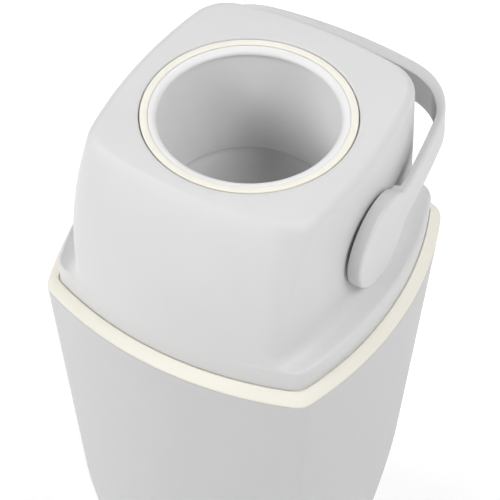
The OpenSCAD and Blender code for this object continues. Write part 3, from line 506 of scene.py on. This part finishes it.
def head_ring(half, z, inset=0.0, front_in=0.0, back_in=0.0):
    """Outline of the head at a height. Its front corners are drawn fuller towards the skirt."""
    t = rise(z)
    bow = max(0, 1 - (top_z - z) / front_bow_h) ** front_bow_power
    front = skirt_half - (skirt_half - front_top) * bow - inset - front_in
    back = skirt_half - (skirt_half - back_top) * t - inset - back_in
    side_r = skirt_side_r + (top_side_r - skirt_side_r) * t - inset
    corner_r = max(skirt_corner_r + corner_gain * t * t - inset, least_corner_r)
    shape = (half, (front + back) / 2, side_r, corner_r, 24, 16)
    full = max(0, min(1, (full_z - z) / full_h))
    full = full_share * full * full * (3 - 2 * full)
    outline = [(x + (u - x) * full, y + (v - y) * full) if y < 0 else (x, y)
               for (x, y), (u, v) in zip(rounded_square(*shape), oblong(*shape))]
    return [(x, y + (back - front) / 2, z) for x, y in outline]


def edge_rings(turns, top, r, inset=0.0):
    """Outlines round the edge of the top, which is rounder at its sides than at its front and back."""
    made = []
    for a in turns:
        cut = r * (1 - math.cos(a))
        z = top - r + r * math.sin(a)
        made.append(head_ring(top_half - inset - cut, z, inset, cut * front_cut, cut * back_cut))
    return made


def hoop(r, z, like):
    """Circle whose points lie in the same directions as those of an outline."""
    return [(r * x / math.hypot(x, y), r * y / math.hypot(x, y), z) for x, y, _ in like]


def eased(points, steps):
    """Smooth curve through points in a plane."""
    curve = []
    for i in range(len(points) - 1):
        p0, p1, p2, p3 = (points[max(0, min(len(points) - 1, i + k))] for k in (-1, 0, 1, 2))
        for k in range(steps):
            t = k / steps
            curve.append(tuple(0.5 * (2 * b + (c - a) * t + (2 * a - 5 * b + 4 * c - d) * t ** 2
                                      + (3 * b - a - 3 * c + d) * t ** 3)
                               for a, b, c, d in zip(p0, p1, p2, p3)))
    return curve + [points[-1]]


skirt_h, skirt_edge_r, cheek_h = 14.6, 3.4, 36.5
skirt_curve = [(skirt_half - 0.5, 0), (skirt_half - 0.15, 0.15), (skirt_half, 0.5), (skirt_half, 7),
               (skirt_half, skirt_h)]
skirt_curve += [(skirt_half - skirt_edge_r + skirt_edge_r * math.cos(a),
                 skirt_h + skirt_edge_r * math.sin(a)) for a in angles(12, 85, 12)]
skirt_curve += eased([(113, 18), (107.5, 18.9), (103, 20.8), (99.4, 24.4), (97.3, 29.3),
                      (side_x(skirt_z + cheek_h), cheek_h)], 4)
inner_curve = ((93.3, cheek_h), (94, 28.4), (96.8, 22.7), (102.1, 18.2), (111.9, 15), (113.4, 12),
               (113.4, 0))
shell = [head_ring(half, skirt_z + up) for half, up in skirt_curve]
shell += [head_ring(side_x(z), z) for z in (441, 450, 459, 468, 477, 486, 495, 502, 508, 513, edge_z)]
shell += edge_rings(angles(10, 91, 10), top_z, edge_r)
brim = shell[-1]
shell += [hoop(opening_r + out, top_z - down, brim)
          for out, down in ((2.5, 0), (1.1, 0), (0.6, 0.15), (0.15, 0.6), (0, 1.2), (0, opening_h))]
shell += edge_rings(angles(90, -1, -30), top_z - opening_h, inner_edge_r, head_wall)
shell += [head_ring(side_x(z) - head_wall, z, head_wall) for z in (500, 480, 460, 440)]
shell += [head_ring(half, skirt_z + up, head_wall) for half, up in inner_curve]
head = loft("head_shell", shell, closed=True)


def rod(start, end, r, axis=(0.0, pivot_z), segments=128, along="X"):
    """Cylinder along X or Z, as a tool for holes or a start for pins."""
    middle, length = (start + end) / 2, abs(end - start)
    place = (middle, *axis) if along == "X" else (*axis, middle)
    turn = (0, math.pi / 2, 0) if along == "X" else (0, 0, 0)
    bpy.ops.mesh.primitive_cylinder_add(vertices=segments, radius=r / 1000, depth=length / 1000,
                                        location=[v / 1000 for v in place], rotation=turn)
    made = bpy.context.object
    bpy.ops.object.transform_apply(location=True, rotation=True, scale=True)
    return made


bearing_hole_r, recess_r = 26.95, 35.9
for side in (-1, 1):
    carve(head, rod(side * 84, side * 107, bearing_hole_r))
    carve(head, rod(side * cheek_half, side * 105.7, recess_r))
hinge_notch = block((-13, 104.4, 394), (13, 118.6, 405.5))
carve(head, hinge_notch)
settle(head, 32)
head_plastic = moulded_plastic("head_plastic", 198, gloss=0.52)
head.data.materials.append(head_plastic)
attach(head, "head")
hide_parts("head_cover")

# Lower plate: a moulding screwed to the head's posts from below, with a nickel-plated magnet in front. The
# hinge leaf behind it, and the bracket on the bucket that holds the leaf, are of the same plastic.
inner_plastic = moulded_plastic("inner_plastic", 196, gloss=0.46, grain=0.00004)
dress("head_base", inner_plastic, 0.4)
dress("hinge_leaf", inner_plastic, 0.3)
dress("hinge_bracket", inner_plastic, 0.4)
dress("head_screws", zinc, 0.15)
dress("leaf_screws", zinc, 0.15)
dress("lid_magnet", plated_steel("nickel_plate", 196, 0.22, 6, 600), 0.4)


# Seals: two cream rings of soft plastic, one in the head's opening and one in the lower plate, whose lips
# follow the ball and keep the smell in.
def turned(name, outline):
    """Ring turned about the bore's axis from a closed outline of radii and heights."""
    segments = 160
    steps = [2 * math.pi * k / segments for k in range(segments)]
    rings = [[(r * math.cos(a), r * math.sin(a), z) for a in steps] for r, z in outline]
    return loft(name, rings, closed=True)


def on_ball(r, low, high, count):
    """Points of an outline that follow a ball of radius r, from one height above the pivot to another."""
    heights = [low + (high - low) * k / count for k in range(count + 1)]
    return [(math.sqrt(r * r - h * h), pivot_z + h) for h in heights]


ball_r = 95
upper_seal = turned("opening_ring", on_ball(ball_r + 0.15, 57.25, 67.1, 8) + [
    (67.5, 524.05), (67.75, 524.25), (68.6, 524.45), (71.9, 524.6), (72.4, 524.5), (72.65, 524.2),
    (72.7, 523.7), (72.7, 518.6), (72.9, 518.4), (74.8, 518.4), (75, 518.6), (75, 521.5), (80.5, 521.5),
    (80.5, 514)])
settle(upper_seal, 50)
upper_seal.data.materials.append(cream_plastic)
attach(upper_seal, "head")
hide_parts("opening_seal")
foot_seal = turned("lower_ring", on_ball(ball_r + 0.4, -52.75, -59.25, 5) + [
    (82.9, 397.5), (83.27, 397.9), (83.27, 401), (87.9, 401), (88.27, 401.4), (88.27, 403.6),
    (87.9, 404)])
settle(foot_seal, 50)
foot_seal.data.materials.append(cream_plastic)
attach(foot_seal, "head")
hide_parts("lower_seal")

# Bearings: dark low-friction bushes through the side walls, screwed to posts inside the head. The hubs
# that join the drum to the handle turn in them and are of the same plastic.
bench = Bench("bearing_plastic")
swirl = bench.noise(60, 3.0)
skin = bench.noise(1800, 2.0)
dark_plastic = bench.finish(bench.blend(swirl.clamped(), shade(84), shade(98)),
                            0.38 + 0.12 * (skin - 0.5), bench.bump(skin, 0.00003, 0.5))
for node in ("bearing_left", "bearing_right", "hub_left", "hub_right"):
    dress(node, dark_plastic, 0.25)
for node in ("bearing_screws", "hub_screws", "drum_screws"):
    dress(node, zinc, 0.15)

# Drum: two half balls of the same plastic, screwed together, with a flat on each side for the hubs and a
# broad rounded lip round each mouth.
# The drum's grey is set lighter than the head's as painted light: the same plastic, brightened so the deep
# bore and lip read as lit.
drum_plastic_painted_light = moulded_plastic("drum_plastic_painted_light", 214, gloss=0.45)
half_gap, ball_inner_r, mouth_r, mouth_h, lip_w, lip_h = 0.05, 92.2, 61.6, 63.6, 4.8, 3.54
lip = [(67.2, 67.05), (66.95, 67.15), (66.4, 67.14)]
lip += [(mouth_r + lip_w * (1 - math.sin(a)), mouth_h + lip_h * math.cos(a)) for a in angles(10, 91, 10)]
lip += [(mouth_r, mouth_h - 0.45), (66.9, mouth_h - 0.45)]
outside = [(r, z - pivot_z) for r, z in on_ball(ball_r, 0.25, 66.9, 40)]
inside = [(r, z - pivot_z) for r, z in on_ball(ball_inner_r, 62.6, half_gap, 16)]
flat_x, hub_plate_r, screw_at, screw_hole_r, pin_r = 85, 42.2, 55, 3.4, 1.9
for name, node, up in (("upper_half_ball", "drum_upper", 1), ("lower_half_ball", "drum_lower", -1)):
    outline = [(ball_r - 0.2, half_gap)] + outside + lip + inside
    half = turned(name, [(r, pivot_z + up * z) for r, z in outline])
    for side in (-1, 1):
        carve(half, block((side * flat_x, -60, 360), (side * 97, 60, 550)))
        plate = rod(side * 82.2, side * (flat_x - 0.02), hub_plate_r, segments=96)
        carve(plate, block((-90, -60, pivot_z + up * half_gap), (90, 60, pivot_z - up * 60)))
        carve(half, plate, "UNION")
        if up < 0:
            for y in (-screw_at, screw_at):
                carve(half, rod(pivot_z - 95, pivot_z - 40, screw_hole_r, (side * screw_at, y), 32, "Z"))
        else:
            carve(half, rod(side * 84.5, side * 87.2, pin_r, (36.8, pivot_z + 2.2), 32), "UNION")
    settle(half, 35)
    half.data.materials.append(drum_plastic_painted_light)
    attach(half, "drum")
    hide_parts(node)
bore_r, tube_r, tube_foot, tube_top = 63, 65.2, 394, 519.5
liner = turned("bore_tube", [
    (bore_r + 0.05, tube_foot - 0.35), (bore_r, tube_foot),
    (bore_r, tube_top), (bore_r + 0.05, tube_top + 0.35),
    (tube_r - 0.1, tube_top + 0.35), (tube_r, tube_top),
    (tube_r, tube_foot), (tube_r - 0.1, tube_foot - 0.35)])
settle(liner)
liner.data.materials.append(drum_plastic_painted_light)
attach(liner, "drum")
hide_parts("bore_liner")

# Piston: two shallow bowls back to back with a steel ring between them as a weight, and two white slide
# rings. It drops through the bore when the drum is turned over.
# The bowls' grey is set darker than the drum's as painted shade for the dark bottom of the bore.
bowl_plastic_painted_shade = moulded_plastic("bowl_plastic_painted_shade", 188)
piston_z, piston_half, bowl_r, bowl_h, under_r, under_h = pivot_z - 45.1, 18, 62.97, 15, 64, 17.2
piston_r, slide_r, skirt_inner_r = 62.6, 61, 59.4
bowl = [(bowl_r * math.cos(a), piston_half - bowl_h * math.sin(a))
        for a in (math.radians(k * 2.25) for k in range(41))]
under = [(under_r * math.cos(a), piston_half - under_h * math.sin(a)) for a in angles(90, 23, -3)]
bowl[-1], under[0] = (0.02, piston_half - bowl_h), (0.02, piston_half - under_h)
skirt = [(skirt_inner_r, 11.6), (skirt_inner_r, 0.05), (piston_r - 0.1, 0.05), (piston_r, 0.3),
         (piston_r, 10), (slide_r, 10), (slide_r, 14), (piston_r, 14), (piston_r, 17.2)]
for name, node, up in (("upper_bowl", "piston_upper", 1), ("lower_bowl", "piston_lower", -1)):
    cup = turned(name, [(r, piston_z + up * z) for r, z in bowl + under + skirt])
    settle(cup, 40)
    cup.data.materials.append(bowl_plastic_painted_shade)
    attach(cup, "piston")
    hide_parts(node)
dress("piston_weight", plated_steel("weight_steel", 180, 0.4), 0.4)
bench = Bench("slide_ring_plastic")
wax = bench.noise(90, 3.0)
white_plastic = bench.finish(bench.blend(wax.clamped(), shade(232, 6), shade(240, 6)),
                             0.3 + 0.1 * wax, bench.bump(wax, 0.00002, 0.4))
dress("piston_rings", white_plastic, 0.2)

# Handle: one moulded bow. Two thin cored arms grow out of flat round bosses, turn through wide corners
# and meet in a thicker crossbar with a domed outer face.
boss_x, boss_r, reach, tilt = 106.0, 34.7, 145.3, math.radians(8.8)
bow_r, bar_r, corner_r, strap_half = 750.0, 400.0, 51.0, 15.2
arm_t, bar_t, boss_t = 5.8, 12.5, 10.1
arm_c, bar_c = (boss_x - bow_r, 0.0), (0.0, reach - bar_r)
gap = math.hypot(bar_c[0] - arm_c[0], bar_c[1] - arm_c[1])
ux, uy = (bar_c[0] - arm_c[0]) / gap, (bar_c[1] - arm_c[1]) / gap
along = (gap ** 2 + (bow_r - corner_r) ** 2 - (bar_r - corner_r) ** 2) / (2 * gap)
across = math.sqrt((bow_r - corner_r) ** 2 - along ** 2)
corner_c = (arm_c[0] + along * ux - across * uy, arm_c[1] + along * uy + across * ux)
arm_turn = math.atan2(corner_c[1] - arm_c[1], corner_c[0] - arm_c[0])
bar_turn = math.atan2(corner_c[1] - bar_c[1], corner_c[0] - bar_c[0])
arm_len, corner_len = bow_r * arm_turn, corner_r * (bar_turn - arm_turn)
bar_len = bar_r * (math.pi / 2 - bar_turn)
neck_w, neck_s, neck_len, neck_power, neck_r = 3.8, 42, 13, 2.2, 2.5
edge_round, edge_flat, core_fade, core_h = 2.3, 0.7, 3, 2.6
core_start, core_end = 47, arm_len + corner_len * 0.42


def station(s):
    """Place, outward direction, thickness and roundness of the bow, at s along it from a pivot."""
    if s < arm_len:
        a = s / bow_r
        if s < 0:
            return boss_x, s, 1.0, 0.0, arm_t, 0.0
        return arm_c[0] + bow_r * math.cos(a), bow_r * math.sin(a), math.cos(a), math.sin(a), arm_t, 0.0
    if s < arm_len + corner_len:
        f = (s - arm_len) / corner_len
        a = arm_turn + (bar_turn - arm_turn) * f
        ease = f * f * (3 - 2 * f)
        return (corner_c[0] + corner_r * math.cos(a), corner_c[1] + corner_r * math.sin(a), math.cos(a),
                math.sin(a), arm_t + (bar_t - arm_t) * ease, ease)
    a = bar_turn + (s - arm_len - corner_len) / bar_r
    return bar_r * math.cos(a), bar_c[1] + bar_r * math.sin(a), math.cos(a), math.sin(a), bar_t, 1.0


def half_width(s):
    """Half width of the strap, which widens into the disc of the boss with a small fillet."""
    flare = strap_half + neck_w * max(0, min(1, (neck_s - s) / neck_len)) ** neck_power
    if s >= boss_r:
        return flare
    disc = math.sqrt(max(0, boss_r ** 2 - s * s))
    if s <= 0 or disc - flare > neck_r:
        return disc
    return max(disc, flare) + max(0, neck_r - abs(disc - flare)) ** 2 / (4 * neck_r)


tips = [-boss_r * math.cos(math.radians(d)) for d in range(0, 90, 3)]
places = tips + [k * 2.0 for k in range(0, 12)] + [24 + k * 0.75 for k in range(0, 25)]
places += [43 + (arm_len - 43) * k / 22 for k in range(0, 22)]
places += [arm_len + corner_len * k / 32 for k in range(0, 32)]
places += [arm_len + corner_len + bar_len * k / 16 for k in range(0, 17)]
widths = [half_width(s) for s in places]
rungs = []
for i, (s, w) in enumerate(zip(places, widths)):
    before, after = max(0, i - 1), min(len(places) - 1, i + 1)
    ds, dw = places[after] - places[before], widths[after] - widths[before]
    if i == 0:
        ds, dw = 0.0, 1.0
    if i == len(places) - 1:
        ds, dw = 1.0, 0.0
    length = math.hypot(ds, dw)
    rungs.append((s, w, -dw / length, ds / length))


def crown(inset, width, thickness, roundness):
    """Height of the outer face below its middle, at a distance in from the edge."""
    r = edge_round
    flat = -r + math.sqrt(max(0, r * r - (r - min(inset, r)) ** 2))
    p = 7 - 3.1 * roundness
    domed = (thickness - edge_flat) * ((1 - min(1, max(0, width - inset) / width) ** p) ** (1 / p) - 1)
    return (1 - roundness) * flat + roundness * domed


def core(s):
    """Share of its full depth that the hollow in the arm's inner face has."""
    return max(0, min(1, (s - core_start) / core_fade)) * max(0, min(1, (core_end - s) / core_fade))


def bow_point(s, w, depth, side):
    """Point of the bow in the bin's frame, with the whole bow tilted back about its pivot."""
    x, y, ox, oy, _, _ = station(s)
    x, y = x + ox * depth, y + oy * depth
    return (side * x, y * math.cos(tilt) - w * math.sin(tilt),
            pivot_z + y * math.sin(tilt) + w * math.cos(tilt))


def inner_depth(s):
    """Depth of the inner face: the boss is thicker than the arm that leaves it."""
    ease = max(0, min(1, (s - boss_r) / 2))
    return -(boss_t + (station(s)[4] - boss_t) * ease)


def bow_section(number, side):
    """Line round the bow at one of its stations, from the middle of the outer face over both edges."""
    s, w, ns, nw = rungs[number]
    _, _, _, _, thickness, roundness = station(s)
    wide = max(w, 0.1)
    upper = []
    for inset in (7.0, 5.0, 3.4, 2.3, 1.75, 1.25, 0.8, 0.45, 0.2, 0.05, 0):
        upper.append((s - ns * inset, max(0, w - nw * inset), crown(inset, wide, thickness, roundness)))
    last_s, last_w, _ = upper[0]
    face = [(last_s, last_w * f, crown(w - last_w * f, wide, thickness, roundness))
            for f in (0, 0.35, 0.7)]
    back = [(s - ns * d, max(0, w - nw * d), inner_depth(s) + lift)
            for d, lift in ((0, 0.7), (0.2, 0.2), (0.7, 0), (3.3, 0), (3.6, core_h * core(s)))]
    hollow_s, hollow_w, deep = back[-1]
    upper_half = face + upper + back + [(hollow_s, hollow_w * f, deep) for f in (0.5, 0)]
    around = upper_half + [(s, -w, d) for s, w, d in reversed(upper_half[1:-1])]
    return [bow_point(s, w, d, side) for s, w, d in around]


sections = [bow_section(i, 1) for i in range(len(rungs))]
sections += [bow_section(i, -1) for i in range(len(rungs) - 2, -1, -1)]
bow = loft("carry_bow", sections, caps=False)
socket_r, key_w, key_low, key_high = 24.15, 23.3, pivot_z - 4, pivot_z + 4
for side in (-1, 1):
    carve(bow, rod(side * 93, side * 100.1, socket_r))
    carve(bow, block((side * 89.5, -key_w, key_low), (side * 100.6, key_w, key_high), 0.3), "UNION")
settle(bow, 42)
bow.data.materials.append(moulded_plastic("handle_plastic", 198))
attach(bow, "drum")
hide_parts("handle")
